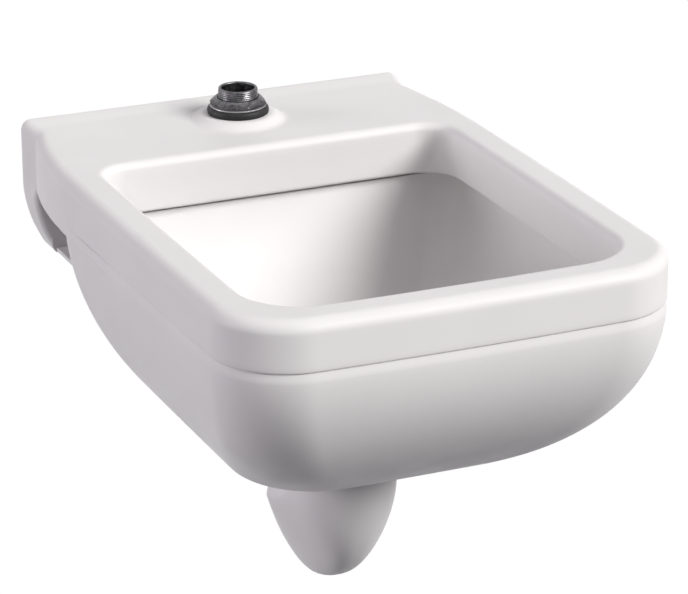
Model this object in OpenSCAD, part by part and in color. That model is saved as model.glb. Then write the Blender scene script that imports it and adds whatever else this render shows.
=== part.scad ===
// Wall-hung mop service sink in glazed china, with a flushing rim, a moulded-in trap and a top inlet.
// X is across the sink, +Y points into the wall, +Z is up, in millimetres.
// The origin is the centre of the waste outlet, on the face that meets the wall.

/* [Overall size] */
// Width across the rim
sink_width = 514; // [496:1:540]
// Depth from the wall to the front of the rim
sink_depth = 724; // [700:1:760]
// Height of the rim top above the centre of the waste outlet
rim_rise = 280; // [272:1:300]
// Width of the body where it meets the wall
back_width = 476; // [460:1:488]
// Thickness of the china walls
china_wall = 11; // [9:0.5:13]

/* [Rim and deck] */
// Height of the rim casting down to the joint with the bowl
rim_height = 56; // [52:1:62]
// Width of the side and front rim, beside the opening
rim_side = 45; // [41:1:50]
// Depth of the deck, from the wall to the opening
deck_depth = 188; // [176:1:200]
// Radius of the front corners, seen from above
corner_r = 81; // [75:1:89]
// Radius of the opening's front corners
opening_front_r = 64; // [52:1:76]
// Radius of the opening's back corners
opening_back_r = 34; // [26:1:42]
// Radius of the rolled outer edge on top
top_roll = 15; // [11:0.5:18]
// Radius of the rolled edge round the opening
opening_roll = 9; // [7:0.5:11]
// Depth of the flushing lip below the rim top
lip_drop = 63; // [60:1:70]
// How far the lip leans back under the opening's edge
lip_draft = 6; // [3:0.5:8]
// How much the side rims swell outwards
side_bow = 3; // [0:0.5:6]
// How much the front rim swells outwards
front_bow = 6; // [0:0.5:12]
// Distance from the wall at which the sides are at full width
flare_end = 216; // [196:1:236]

/* [Back plate] */
// Thickness of the back plate
plate_depth = 44; // [38:1:50]
// Height of the curb along the wall above the rim top
curb_height = 5; // [3:0.5:8]
// Depth of the flat on top of the curb
curb_flat = 28; // [22:1:35]
// Distance from the wall at which the curb has sloped down to the deck
curb_slope_end = 112; // [100:1:124]
// Radius of the plate's top corners, seen from the wall
plate_corner_r = 12; // [8:0.5:16]
// Depth below the rim top at which the plate's sides turn inwards
shoulder_drop = 66; // [60:1:72]
// Depth below the rim top of the lower edge of the shoulders
shoulder_low = 147; // [140:1:156]
// Half width of the plate at the lower edge of the shoulders
shoulder_half = 214; // [207:1:219]
// Radius of the round pad about the outlet
outlet_pad_r = 112; // [106:1:118]
// Half width of the solid part between the two bolt pockets
pocket_wall_half = 150; // [140:1:158]

/* [Bowl] */
// Thickness of the shelf that closes the flushing channel from below
shelf_thick = 12; // [10:0.5:14]
// Width of the slot between the shelf and the lip, where the flush runs out
flush_slot = 5; // [3:0.5:8]
// Depth of the bowl's underside below the rim top
bowl_drop = 298; // [291:1:305]
// Depth below the rim top of the joint between bowl and trap
neck_drop = 315; // [309:1:322]
// Radius of the neck at that joint
neck_r = 66; // [62:1:70]
// Half width of the flat at the bottom of the bowl
floor_half = 32; // [26:1:42]
// Distance from the wall to the front of the flat at the bottom
floor_front = 390; // [380:1:400]
// Roundness of the sides, where 2 is an ellipse and more is fuller
side_fullness = 2.07; // [1.95:0.01:2.3]
// Roundness of the front, where 2 is an ellipse and more is fuller
front_fullness = 1.99; // [1.9:0.01:2.3]
// Roundness of the rear wall, where 2 is an ellipse and less is straighter
rear_fullness = 1.58; // [1.3:0.02:1.8]
// Distance from the wall to the top of the bowl's rear wall
rear_top = 157; // [150:1:161]
// Distance from the wall to the foot of the bowl's rear wall
rear_foot = 350; // [342:1:356]
// Radius of the bowl's rear corners, outside
rear_corner_r = 56; // [46:1:66]

/* [Trap] */
// Distance from the wall to the centre of the trap's down leg
trap_leg = 386; // [378:1:394]
// Bore radius of the trap at the outlet
trap_bore_r = 38; // [36:0.5:40]
// Depth of the trap's underside below the rim top
trap_drop = 473; // [464:1:486]
// Radius of the trap's lower bend, on its centre line
trap_bend_r = 65; // [64:1:72]
// Radius of the upper bend, on its centre line
weir_bend_r = 62; // [54:1:70]
// Angle by which the lower bend turns the trap
trap_turn = 130; // [124:1:136]
// Outer half width of the foot where the lower bend starts
leg_half = 57; // [53:1:61]
// Outer half width of the foot at its bottom
keel_half = 40; // [37:1:44]
// Outer half depth of the foot at its bottom
keel_depth = 62; // [57:1:63]

/* [Wall fixings and outlet] */
// Spacing of the upper pair of wall bolts, in the pockets
upper_bolt_spacing = 380; // [366:1:392]
// Height of the upper pair of wall bolts above the outlet
upper_bolt_rise = 178; // [172:1:184]
// Spacing of the lower pair of wall bolts, beside the outlet
lower_bolt_spacing = 174; // [168:1:180]
// Radius of the wall bolt holes
bolt_hole_r = 9.5; // [8:0.5:11]
// Inner radius of the groove for the outlet seal
seal_groove_r = 50; // [47:1:52]
// Width of the groove for the outlet seal
seal_groove_width = 12; // [9:0.5:14]
// Depth of the groove for the outlet seal
seal_groove_depth = 9; // [6:0.5:12]

/* [Inlet spud] */
// Distance from the wall to the inlet's axis
inlet_offset = 84; // [78:1:96]
// Height of the raised boss round the inlet
boss_height = 8; // [6:0.5:10]
// Radius of the boss on top
boss_top_r = 41; // [39:0.5:44]
// Radius of the boss at the deck
boss_base_r = 56; // [53:0.5:60]
// Radius of the hole in the deck for the spud
deck_hole_r = 27; // [26.5:0.5:29]
// Outer radius of the spud's thread
spud_r = 23.5; // [22.5:0.5:24]
// Bore radius of the spud
spud_bore_r = 19.3; // [18.8:0.1:20]
// Height of the spud's top above the deck
spud_rise = 38.5; // [36:0.5:42]
// Depth of the spud's lower end below the deck
spud_tail = 34; // [31:0.5:38]
// Radius of the rubber ring above the deck
rubber_r = 36; // [34:0.5:38]
// Thickness of the rubber ring above the deck
rubber_thick = 8.5; // [7:0.5:10]
// Radius of the metal friction ring
friction_r = 33; // [31:0.5:34]
// Thickness of the metal friction ring
friction_thick = 2; // [1.5:0.5:3]
// Width of the locknut across its flats
nut_flats = 57; // [54:1:60]
// Thickness of the locknut
nut_thick = 9; // [8:0.5:11]
// Gap between the spud and what slides over it
slip_gap = 0.3; // [0.2:0.1:0.5]
// How much slimmer the spud is below the free end of its thread
shank_relief = 0.3; // [0.2:0.1:0.5]

/* [Hidden] */
$fn = 96;

china = [0.93, 0.92, 0.91];
steel = [0.45, 0.45, 0.47];
rubber = [0.08, 0.08, 0.09];

corner_steps = 12;                      // points round each corner of a ring
side_steps = 6;                         // points along each side of a ring
half_width = sink_width / 2;
rim_z = rim_rise;                       // height of the rim top
roof_drop = china_wall + 1;             // underside of the rim's top wall
fillet_r = 5;                           // fillets inside the flushing channel
back_wall = 8;                          // wall between the flushing channel and the back plate
foot_wall = china_wall + 1;             // wall of the trap
trap_r = trap_bore_r + foot_wall;       // outer radius of the trap's round part
lip_r = china_wall / 2;                 // rounding of the lip's lower edge
inner_drop = bowl_drop - china_wall;    // inside of the bowl's floor
shelf_drop = rim_height + shelf_thick;  // underside of the shelf
ring_count = 4 * (corner_steps + side_steps);
side_crowd = 2;                         // crowds a side's points towards the wall, where it curves
flare_power = 2.4;                      // how early the sides widen in front of the back plate
roll_steps = 5;                         // rings over the rolled outer edge
slope_steps = 3;                        // rings down the slope from the curb to the deck
square_r = 30;                          // corner arc that is pushed out to a square corner at the back plate
bowl_steps = 13;                        // rings down each face of the bowl
turn_in = 9;                            // the bowl's underside stops this far above its floor, then the neck starts
neck_spread = 36;                       // how much wider the neck starts than it ends
plug_reach = 30;                        // how far below the shoulders the bowl is cut out of the pocket walls
level = 90;                             // angle of travel of a trap that runs level towards the wall

// ---- closed rings of points ----

function smooth(t) = let (c = min(1, max(0, t))) c * c * (3 - 2 * c);
function mix(a, b, t) = a + (b - a) * t;

// How much the sides are drawn in at a distance y from the wall (y is negative).
function taper(y) =
    let (t = min(1, max(0, (-y - plate_depth) / (flare_end - plate_depth))))
    1 - (half_width - back_width / 2) / half_width * pow(1 - t, flare_power);

// Height of the deck above the rim top, where it rises to the curb along the wall.
function rise(y) = curb_height * (1 - smooth((-y - curb_flat) / (curb_slope_end - curb_flat)));

// One corner of a ring: an arc, or with square = true the same points pushed out to a sharp corner.
function corner(cx, cy, r, a0, square) =
    [for (i = [0:corner_steps])
        let (a = a0 + 90 * i / corner_steps, k = square ? 1 / max(abs(cos(a)), abs(sin(a))) : 1)
            [cx + r * k * cos(a), cy + r * k * sin(a)]];

// Points strictly between two corners, crowded towards a where crowd is more than 1.
function between(a, b, crowd = 1) = [for (i = [1:side_steps - 1]) mix(a, b, pow(i / side_steps, crowd))];
function reversed(points) = [for (i = [len(points) - 1:-1:0]) points[i]];

// A rounded rectangle from y = back to y = front, with its own front and back corner radii.
function plan(hw, back, front, rb, rf, square = false) =
    let (
        cap = min(hw, (back - front) / 2) - 0.5,
        b = min(rb, cap),
        f = min(rf, cap),
        c1 = corner(hw - b, back - b, b, 0, square),
        c2 = corner(-hw + b, back - b, b, 90, square),
        c3 = corner(-hw + f, front + f, f, 180, false),
        c4 = corner(hw - f, front + f, f, 270, false),
        n = corner_steps
    )
    concat(c1, between(c1[n], c2[0]), c2, between(c2[n], c3[0], side_crowd),
           c3, between(c3[n], c4[0]), c4, reversed(between(c1[0], c4[n], side_crowd)));

// Bends a plan to the sink's outline: sides drawn in at the wall, sides and front slightly swollen.
function bend(points) =
    [for (p = points)
        let (
            along = min(1, max(0, (-p.y - plate_depth) / (sink_depth - plate_depth))),
            swell = side_bow * (4 * along * (1 - along) - 1),
            sink_back = front_bow * pow(p.x / half_width, 2) * smooth(2 * along - 1)
        )
        [p.x * taper(p.y) + swell * p.x / half_width, p.y + sink_back]];

function lift(points, z) = [for (p = points) [p.x, p.y, z]];
function on_deck(points) = [for (p = points) [p.x, p.y, p.z + rise(p.y)]];

// Ring on the rim's outline, moved in by d, with its straight back at y = back.
function outer_ring(d, drop, back) =
    lift(bend(plan(half_width - d, back, -sink_depth + d, square_r, corner_r - d, true)), rim_z - drop);

// Ring on the opening's outline, moved outwards by d.
function opening_ring(d, drop) =
    lift(bend(plan(half_width - rim_side + d, -deck_depth + d, -sink_depth + rim_side - d,
                   opening_back_r + d, opening_front_r + d)), rim_z - drop);

// A solid whose surface runs through the rings in turn and back to the first.
module ring_solid(rings) {
    n = len(rings[0]);
    m = len(rings);
    points = [for (r = rings) for (p = r) p];
    faces = [for (i = [0:m - 1]) for (j = [0:n - 1])
                let (a = i * n + j, b = i * n + (j + 1) % n, c = (i + 1) % m * n + (j + 1) % n, d = (i + 1) % m * n + j)
                    each [[a, c, b], [a, d, c]]];
    polyhedron(points = points, faces = faces, convexity = 8);
}

// ---- rim and deck ----

module at_inlet() {
    translate([0, -inlet_offset, rim_z])
        children();
}

module rim_shell() {
    outer_roll = [for (i = [0:roll_steps]) let (a = 90 * i / roll_steps)
        on_deck(outer_ring(top_roll * (1 - cos(a)), top_roll * (1 - sin(a)), -plate_depth))];
    slope = [for (i = [1:slope_steps])
        on_deck(outer_ring(top_roll + 3 * i, 0, -mix(plate_depth, curb_slope_end, i / slope_steps)))];
    inner_roll = [for (i = [0:roll_steps - 1]) let (a = 90 * i / (roll_steps - 1))
        opening_ring(opening_roll * (1 - sin(a)), opening_roll * (1 - cos(a)))];
    lip = [for (i = [0:4]) let (a = 45 * i)
        opening_ring(lip_draft + lip_r * (1 - cos(a)), lip_drop - lip_r + lip_r * sin(a))];
    channel = [
        opening_ring(china_wall, roof_drop + fillet_r),
        opening_ring(china_wall + fillet_r, roof_drop),
        outer_ring(china_wall + fillet_r, roof_drop, -plate_depth - back_wall - fillet_r),
        outer_ring(china_wall, roof_drop + fillet_r, -plate_depth - back_wall),
        outer_ring(china_wall, rim_height, -plate_depth - back_wall)
    ];
    ring_solid(concat([outer_ring(0, rim_height, -plate_depth)], outer_roll, slope, inner_roll, lip, channel));
}

// The raised boss round the inlet, with its root in the deck.
module boss() {
    root = roof_drop / 2;
    at_inlet() {
        translate([0, 0, -root])
            cylinder(h = root, r = boss_base_r);
        cylinder(h = boss_height, r1 = boss_base_r, r2 = boss_top_r);
    }
}

// The space over the back plate; the joint between plate and rim is its front face.
module plate_zone() {
    translate([-half_width, -plate_depth, 0])
        cube([sink_width, plate_depth, rim_z + boss_height + 1]);
}

module rim_casting() {
    color(china)
    difference() {
        union() {
            rim_shell();
            difference() {
                boss();
                plate_zone();
            }
        }
        at_inlet()
            translate([0, 0, -roof_drop - 1])
                cylinder(h = roof_drop + boss_height + 2, r = deck_hole_r);
    }
}

// ---- bowl ----

function fall(t, n) = pow(max(0, 1 - pow(t, n)), 1 / n);

// Section of the bowl at a share t of its height, for a bowl inset by a wall thickness w.
function bowl_plan(t, w) =
    bend(plan(mix(floor_half, half_width - w, fall(t, side_fullness)),
              -mix(rear_foot, rear_top + w, fall(t, rear_fullness)),
              -mix(floor_front, sink_depth - w, fall(t, front_fullness)), rear_corner_r - w, corner_r - w));

function outside_plan(drop) = bowl_plan((drop - rim_height) / (bowl_drop - rim_height), 0);
function bowl_outside(drop) = lift(outside_plan(drop), rim_z - drop);
function bowl_inside(drop) = lift(bowl_plan((drop - rim_height) / (inner_drop - rim_height), china_wall), rim_z - drop);

// Depths that crowd together where the bowl turns under.
function depths(from, to, bottom, steps) =
    let (
        power = side_fullness / 2,
        a0 = asin(pow((from - rim_height) / (bottom - rim_height), power)),
        a1 = asin(pow((to - rim_height) / (bottom - rim_height), power))
    )
    [for (i = [0:steps]) rim_height + (bottom - rim_height) * pow(sin(mix(a0, a1, i / steps)), 1 / power)];

// An oval with as many points as a plan with the same steps, in the same order.
function oval(w, d, y, steps) =
    [for (i = [0:steps - 1]) let (a = 90 * side_steps / (corner_steps + side_steps) / 2 + 360 * i / steps)
        [w * cos(a), y + d * sin(a)]];

// Rings that gather the bowl's underside into the round neck.
function neck_rings(from, wall) =
    [for (i = [1:4]) let (t = i / 4, r = neck_r - wall + neck_spread * pow(1 - t, 2))
        lift(oval(r, r, -mix((floor_front + rear_foot) / 2, trap_leg, t), ring_count), rim_z - mix(from, neck_drop, t))];

bowl_rings = [for (d = depths(shelf_drop, bowl_drop - turn_in, bowl_drop, bowl_steps)) bowl_outside(d)];

module bowl_casting() {
    inside = concat([for (d = depths(shelf_drop, inner_drop - turn_in, inner_drop, bowl_steps)) bowl_inside(d)],
                    neck_rings(inner_drop - turn_in, foot_wall));
    ledge = lip_draft + china_wall + flush_slot;
    color(china)
    ring_solid(concat(
        [outer_ring(0, rim_height, -plate_depth), outer_ring(0, shelf_drop, -plate_depth)],
        bowl_rings,
        neck_rings(bowl_drop - turn_in, 0),
        [for (i = [len(inside) - 1:-1:0]) inside[i]],
        [opening_ring(ledge, shelf_drop), opening_ring(ledge, rim_height)]
    ));
}

// The solid within the bowl's outside, down to just below the back plate's shoulders.
module bowl_plug() {
    within = [for (r = bowl_rings) if (r[0].z > rim_z - shoulder_low - plug_reach) r];
    rings = concat([lift(outside_plan(shelf_drop), rim_z - shelf_drop + 2)], within);
    n = ring_count;
    m = len(rings);
    polyhedron(
        points = [for (r = rings) for (p = r) p],
        faces = concat(
            [[for (j = [n - 1:-1:0]) j], [for (j = [0:n - 1]) (m - 1) * n + j]],
            [for (i = [0:m - 2]) for (j = [0:n - 1])
                let (a = i * n + j, b = i * n + (j + 1) % n)
                    each [[a, b + n, a + n], [a, b, b + n]]]
        ),
        convexity = 4
    );
}

// ---- trap ----

// The centre line is a list of [y, z, angle of travel]; 0 is straight down and 90 is towards the wall.
leg_top = rim_z - neck_drop;
bend_z = rim_z - trap_drop + keel_depth + trap_bend_r;
bend_y = -trap_leg + trap_bend_r;
rise_start = [bend_y - trap_bend_r * cos(trap_turn), bend_z - trap_bend_r * sin(trap_turn)];
weir_rise = weir_bend_r * (1 - sin(trap_turn));
rise_length = (-weir_rise - rise_start.y) / -cos(trap_turn);
rise_end = rise_start + rise_length * [sin(trap_turn), -cos(trap_turn)];
weir_centre = rise_end - weir_bend_r * [cos(trap_turn), sin(trap_turn)];

trap_points = 40;
leg_steps = 3;
bend_steps = 9;
weir_steps = 4;

trap_path = concat(
    [for (i = [0:leg_steps - 1]) [-trap_leg, mix(leg_top, bend_z, i / leg_steps), 0]],
    [for (i = [0:bend_steps]) let (a = trap_turn * i / bend_steps)
        [bend_y - trap_bend_r * cos(a), bend_z - trap_bend_r * sin(a), a]],
    [for (i = [0:weir_steps]) let (a = mix(trap_turn, level, i / weir_steps))
        [weir_centre[0] + weir_bend_r * cos(a), weir_centre[1] + weir_bend_r * sin(a), a]],
    [[-plate_depth, 0, level]]
);

// Outer half width and half depth of the trap at each ring: neck, tapering leg, narrow keel, round tube.
trap_sizes = concat(
    [for (i = [0:leg_steps - 1]) let (t = i / leg_steps) [mix(neck_r, leg_half, t), mix(neck_r, keel_depth, t)]],
    [for (i = [0:bend_steps])
        let (a = trap_turn * i / bend_steps, sink = smooth(a / level), rise = smooth((a - level) / (trap_turn - level)))
            [mix(mix(leg_half, keel_half, sink), trap_r, rise), mix(keel_depth, trap_r, rise)]],
    [for (i = [0:weir_steps + 1]) [trap_r, trap_r]]
);

// A ring across the centre line, inset by a wall thickness.
function trap_ring(i, wall) =
    let (at = trap_path[i], size = trap_sizes[i])
    [for (p = oval(size[0] - wall, size[1] - wall, 0, trap_points))
        [p.x, at[0] + p.y * cos(at[2]), at[1] + p.y * sin(at[2])]];

module trap_casting() {
    last = len(trap_path) - 1;
    color(china)
    ring_solid(concat([for (i = [0:last]) trap_ring(i, 0)], [for (i = [last:-1:0]) trap_ring(i, foot_wall)]));
}

// ---- back plate ----

// Outline of the plate from its top corner to the lower edge of the shoulder, on the right side.
function shoulder(steps) =
    [for (i = [0:steps]) let (t = i / steps)
        [back_width / 2 - (back_width / 2 - shoulder_half) * t * t, rim_z - mix(shoulder_drop, shoulder_low, t)]];

module plate_outline() {
    top_z = rim_z + curb_height;
    right = shoulder(8);
    centre = [back_width / 2, top_z] - plate_corner_r * [1, 1];
    arc = [for (i = [0:8]) let (a = 90 * i / 8) centre + plate_corner_r * [sin(a), cos(a)]];
    polygon(concat(right, [for (p = reversed(concat(arc, right))) [-p.x, p.y]], arc));
    neck_outline();
}

// The plate below the shoulders narrows to the round pad about the outlet.
module neck_outline() {
    top = [pocket_wall_half, rim_z - shoulder_low];
    reach = norm(top);
    tangent = atan2(top.y, top.x) - acos(outlet_pad_r / reach);
    touch = outlet_pad_r * [cos(tangent), sin(tangent)];
    circle(r = outlet_pad_r);
    polygon([[-top.x, top.y + 1], [top.x, top.y + 1], top, touch, [-touch.x, touch.y], [-top.x, top.y]]);
}

// One side's pocket walls: an upright wall and a floor, running from the plate to the bowl.
module pocket_walls() {
    inner = pocket_wall_half - china_wall;
    reach = (rear_top + rear_foot) / 2;
    low = rim_z - shoulder_low;
    difference() {
        union() {
            translate([inner, -reach, low])
                cube([china_wall, reach - plate_depth, shoulder_low - shelf_drop]);
            translate([inner, -reach, low])
                cube([shoulder_half - inner, reach - plate_depth, china_wall]);
        }
        bowl_plug();
    }
}

// Side view of the plate, with the curb's slope down to the deck.
module plate_side() {
    deep = outlet_pad_r + 1;
    slope = [for (i = [0:slope_steps]) let (y = -mix(curb_flat, plate_depth, i / slope_steps)) [y, rim_z + rise(y)]];
    polygon(concat([[0, -deep], [0, rim_z + curb_height]], slope, [[-plate_depth, -deep]]));
}

module back_casting() {
    color(china)
    difference() {
        union() {
            intersection() {
                rotate([90, 0, 0])
                    linear_extrude(height = plate_depth)
                        plate_outline();
                translate([-half_width, 0, 0])
                    rotate([90, 0, 90])
                        linear_extrude(height = sink_width)
                            plate_side();
            }
            intersection() {
                boss();
                plate_zone();
            }
            pocket_walls();
            mirror([1, 0, 0])
                pocket_walls();
        }
        rotate([90, 0, 0]) {
            translate([0, 0, -1])
                cylinder(h = plate_depth + 2, r = trap_bore_r);
            translate([0, 0, -1])
                difference() {
                    cylinder(h = seal_groove_depth + 1, r = seal_groove_r + seal_groove_width);
                    cylinder(h = seal_groove_depth + 1, r = seal_groove_r);
                }
            for (side = [-1, 1]) {
                translate([side * upper_bolt_spacing / 2, upper_bolt_rise, -1])
                    cylinder(h = plate_depth + 2, r = bolt_hole_r);
                translate([side * lower_bolt_spacing / 2, 0, -1])
                    cylinder(h = plate_depth + 2, r = bolt_hole_r);
            }
        }
    }
}

// ---- inlet spud ----

rubber_z = boss_height;                       // heights here are above the deck
friction_z = rubber_z + rubber_thick;
nut_z = friction_z + friction_thick;
sleeve_r = deck_hole_r - slip_gap;            // rubber in the deck's hole
spud_flange_r = sleeve_r - 1;                 // the spud's flange passes through that hole
spud_flange_thick = 4;
bead_swell = 3.5;                             // how far the squeezed rubber swells out under the deck
shank_r = spud_r - shank_relief;
free_z = nut_z + nut_thick + 1;               // the free end of the thread starts here, just above the locknut
rubber_bore_r = shank_r + slip_gap;
metal_bore_r = spud_r + slip_gap;

module spud_body() {
    chamfer = 1.5;
    color(steel)
    at_inlet()
        rotate_extrude()
            polygon([
                [spud_bore_r, -spud_tail],
                [spud_flange_r, -spud_tail],
                [spud_flange_r, -spud_tail + spud_flange_thick],
                [shank_r, -spud_tail + spud_flange_thick],
                [shank_r, free_z],
                [spud_r, free_z],
                [spud_r, spud_rise - chamfer],
                [spud_r - chamfer, spud_rise],
                [spud_bore_r + 1, spud_rise],
                [spud_bore_r, spud_rise - 1]
            ]);
}

module spud_gasket() {
    under = -roof_drop - slip_gap;
    color(rubber)
    at_inlet()
        rotate_extrude()
            polygon([
                [rubber_bore_r, -spud_tail + spud_flange_thick + slip_gap],
                [spud_flange_r, -spud_tail + spud_flange_thick + slip_gap],
                [deck_hole_r + bead_swell, under - 2.5 * bead_swell],
                [deck_hole_r + bead_swell, under - 1.5 * bead_swell],
                [sleeve_r, under],
                [sleeve_r, rubber_z],
                [rubber_r - 1, rubber_z],
                [rubber_r, rubber_z + 1],
                [rubber_r, friction_z - 1.5],
                [rubber_r - 1.5, friction_z],
                [rubber_bore_r, friction_z]
            ]);
}

module spud_friction_ring() {
    color(steel)
    at_inlet()
        rotate_extrude()
            translate([metal_bore_r, friction_z])
                square([friction_r - metal_bore_r, friction_thick]);
}

module spud_locknut() {
    corner_radius = nut_flats / 2 / cos(30);
    color(steel)
    at_inlet()
        difference() {
            intersection() {
                translate([0, 0, nut_z])
                    cylinder(h = nut_thick, r = corner_radius, $fn = 6);
                rotate_extrude()
                    polygon([
                        [0, nut_z - 1],
                        [corner_radius, nut_z - 1],
                        [corner_radius, nut_z + nut_thick * 0.35],
                        [nut_flats / 2 - 2.5, nut_z + nut_thick],
                        [0, nut_z + nut_thick + 1]
                    ]);
            }
            translate([0, 0, nut_z - 1])
                cylinder(h = nut_thick + 3, r = metal_bore_r);
        }
}

rim_casting();
bowl_casting();
back_casting();
trap_casting();
spud_body();
spud_gasket();
spud_friction_ring();
spud_locknut();
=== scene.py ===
"""Dressed model of a wall-hung mop service sink in glazed china.

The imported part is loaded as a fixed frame. Each casting is drawn again as a dense closed mesh
from the part's own sizes, and gets its glaze; the spud gets its thread, plating and rubber.
X runs across the sink, +Y into the wall and +Z up, in metres, from the centre of the waste outlet.
"""

import logging
import math
from collections.abc import Sequence
from dataclasses import dataclass, field
from enum import Enum

import bmesh
import bpy
import numpy as np
from mathutils import Matrix, Vector

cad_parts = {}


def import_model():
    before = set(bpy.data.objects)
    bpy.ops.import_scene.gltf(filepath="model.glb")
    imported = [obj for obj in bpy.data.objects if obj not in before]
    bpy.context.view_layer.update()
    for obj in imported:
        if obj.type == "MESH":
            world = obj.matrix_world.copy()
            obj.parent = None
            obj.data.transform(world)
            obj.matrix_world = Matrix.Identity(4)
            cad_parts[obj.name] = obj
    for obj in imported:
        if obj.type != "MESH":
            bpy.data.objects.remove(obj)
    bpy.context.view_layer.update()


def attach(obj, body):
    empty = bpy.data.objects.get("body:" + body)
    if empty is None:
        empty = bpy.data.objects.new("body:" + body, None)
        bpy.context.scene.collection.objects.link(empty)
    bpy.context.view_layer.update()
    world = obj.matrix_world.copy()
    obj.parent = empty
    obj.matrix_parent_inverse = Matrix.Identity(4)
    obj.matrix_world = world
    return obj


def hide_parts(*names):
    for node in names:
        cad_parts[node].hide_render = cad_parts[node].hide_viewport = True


LOG = logging.getLogger("service_sink")
MM = 0.001
SHARP = math.radians(38.0)
NOISE_RANGE = (0.3, 0.7)  # the values of a noise that are stretched over its whole range


class Slot(Enum):
    """The record's material slots."""

    CHINA = "china"
    SPUD = "spud_metal"
    RING = "ring_metal"
    RUBBER = "rubber"


# ---- numbers and meshes ----


def smooth(t: np.ndarray | float) -> np.ndarray:
    """Ease from 0 at t = 0 to 1 at t = 1, level at both ends."""
    c = np.clip(t, 0.0, 1.0)
    return c * c * (3.0 - 2.0 * c)


def mix(a: np.ndarray | float, b: np.ndarray | float, t: np.ndarray | float) -> np.ndarray | float:
    """Go from a to b by the share t."""
    return a + (b - a) * t


def new_object(name: str, vertices: np.ndarray, faces: Sequence[Sequence[int]]) -> bpy.types.Object:
    """Make a mesh object at the origin.

    Args:
        name: Name of the object and of its mesh.
        vertices: Points, one row each.
        faces: Corner numbers of each face.

    Returns:
        The new object, linked to the scene.
    """
    mesh = bpy.data.meshes.new(name)
    mesh.from_pydata(vertices.tolist(), [], [list(f) for f in faces])
    mesh.update()
    made = bpy.data.objects.new(name, mesh)
    bpy.context.scene.collection.objects.link(made)
    return made


def loft(name: str, rings: Sequence[np.ndarray], closed: bool = True) -> bpy.types.Object:
    """Run a closed surface through rings that have equally many points.

    Args:
        name: Name of the object.
        rings: The rings in order, each an array of points.
        closed: Whether the last ring joins the first; otherwise both end rings are capped.

    Returns:
        The object with the finished mesh.
    """
    count, size = len(rings), len(rings[0])
    faces = []
    for i in range(count if closed else count - 1):
        k = (i + 1) % count
        for j in range(size):
            n = (j + 1) % size
            faces.append((i * size + j, i * size + n, k * size + n, k * size + j))
    if not closed:
        faces.append(tuple(range(size)))
        faces.append(tuple((count - 1) * size + j for j in reversed(range(size))))
    made = new_object(name, np.concatenate(rings), faces)
    settle(made)
    return made


def settle(piece: bpy.types.Object, limit: float = SHARP) -> None:
    """Merge doubles, point every face outwards and keep only true edges sharp.

    Args:
        piece: The object whose mesh is finished.
        limit: Angle between two faces above which their edge is sharp.
    """
    mesh = bmesh.new()
    mesh.from_mesh(piece.data)
    bmesh.ops.remove_doubles(mesh, verts=mesh.verts, dist=2e-6)
    bmesh.ops.recalc_face_normals(mesh, faces=mesh.faces)
    for face in mesh.faces:
        face.smooth = True
    for edge in mesh.edges:
        edge.smooth = edge.calc_face_angle(0.0) < limit
    mesh.to_mesh(piece.data)
    mesh.free()
    piece.data.update()


def combine(body: bpy.types.Object, tool: bpy.types.Object, operation: str) -> None:
    """Join, cut or keep the common part of two solids, and remove the second one.

    Args:
        body: The solid that is changed.
        tool: The solid that is used up.
        operation: UNION, DIFFERENCE or INTERSECT.
    """
    modifier = body.modifiers.new("combine", "BOOLEAN")
    modifier.operation = operation
    modifier.solver = "EXACT"
    modifier.object = tool
    bake(body)
    bpy.data.objects.remove(tool)


def bake(piece: bpy.types.Object) -> None:
    """Turn what the modifiers of a piece make into its own mesh, and take them off.

    Args:
        piece: The object with the modifiers.
    """
    graph = bpy.context.evaluated_depsgraph_get()
    mesh = bpy.data.meshes.new_from_object(piece.evaluated_get(graph))
    piece.modifiers.clear()
    piece.data = mesh
    mesh.name = piece.name


def bar(name: str, radius: float, start: Vector, end: Vector, sides: int = 96) -> bpy.types.Object:
    """Make a round bar, used as a drill.

    Args:
        name: Name of the object.
        radius: Radius of the bar.
        start: Centre of one end.
        end: Centre of the other end.
        sides: Number of flats round it.

    Returns:
        The bar.
    """
    along = end - start
    turn = along.to_track_quat("Z", "Y").to_matrix().to_4x4()
    mesh = bmesh.new()
    bmesh.ops.create_cone(
        mesh, cap_ends=True, segments=sides, radius1=radius, radius2=radius, depth=along.length,
        matrix=Matrix.Translation((start + end) / 2) @ turn)
    made = new_object(name, np.zeros((0, 3)), [])
    mesh.to_mesh(made.data)
    mesh.free()
    return made


def slab(name: str, low: Sequence[float], high: Sequence[float], edge: float) -> bpy.types.Object:
    """Make a block with rounded edges.

    Args:
        name: Name of the object.
        low: Its lowest corner.
        high: Its highest corner.
        edge: Radius of its edges.

    Returns:
        The block.
    """
    mesh = bmesh.new()
    bmesh.ops.create_cube(mesh, size=1.0)
    for vertex in mesh.verts:
        vertex.co = Vector(mix(low[k], high[k], vertex.co[k] + 0.5) for k in range(3))
    bmesh.ops.bevel(
        mesh, geom=mesh.edges[:], offset=edge, segments=4, profile=0.5, affect="EDGES")
    made = new_object(name, np.zeros((0, 3)), [])
    mesh.to_mesh(made.data)
    mesh.free()
    return made


def rounded(points: Sequence[tuple[float, float, float]], steps: int = 6) -> np.ndarray:
    """Round the corners of a closed outline.

    Args:
        points: Corners as (x, y, radius).
        steps: Points on each rounded corner.

    Returns:
        The outline's points, one row each.
    """
    corners = [np.array(p[:2], float) for p in points]
    out: list[np.ndarray] = []
    for i, (_, _, radius) in enumerate(points):
        here, before, after = corners[i], corners[i - 1], corners[(i + 1) % len(corners)]
        if radius <= 0.0:
            out.append(here)
            continue
        back, on = before - here, after - here
        reach = min(radius, 0.45 * np.linalg.norm(back), 0.45 * np.linalg.norm(on))
        a = here + back / np.linalg.norm(back) * reach
        b = here + on / np.linalg.norm(on) * reach
        for k in range(steps + 1):
            t = k / steps
            out.append((1 - t) ** 2 * a + 2 * t * (1 - t) * here + t * t * b)
    return np.array(out)


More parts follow.
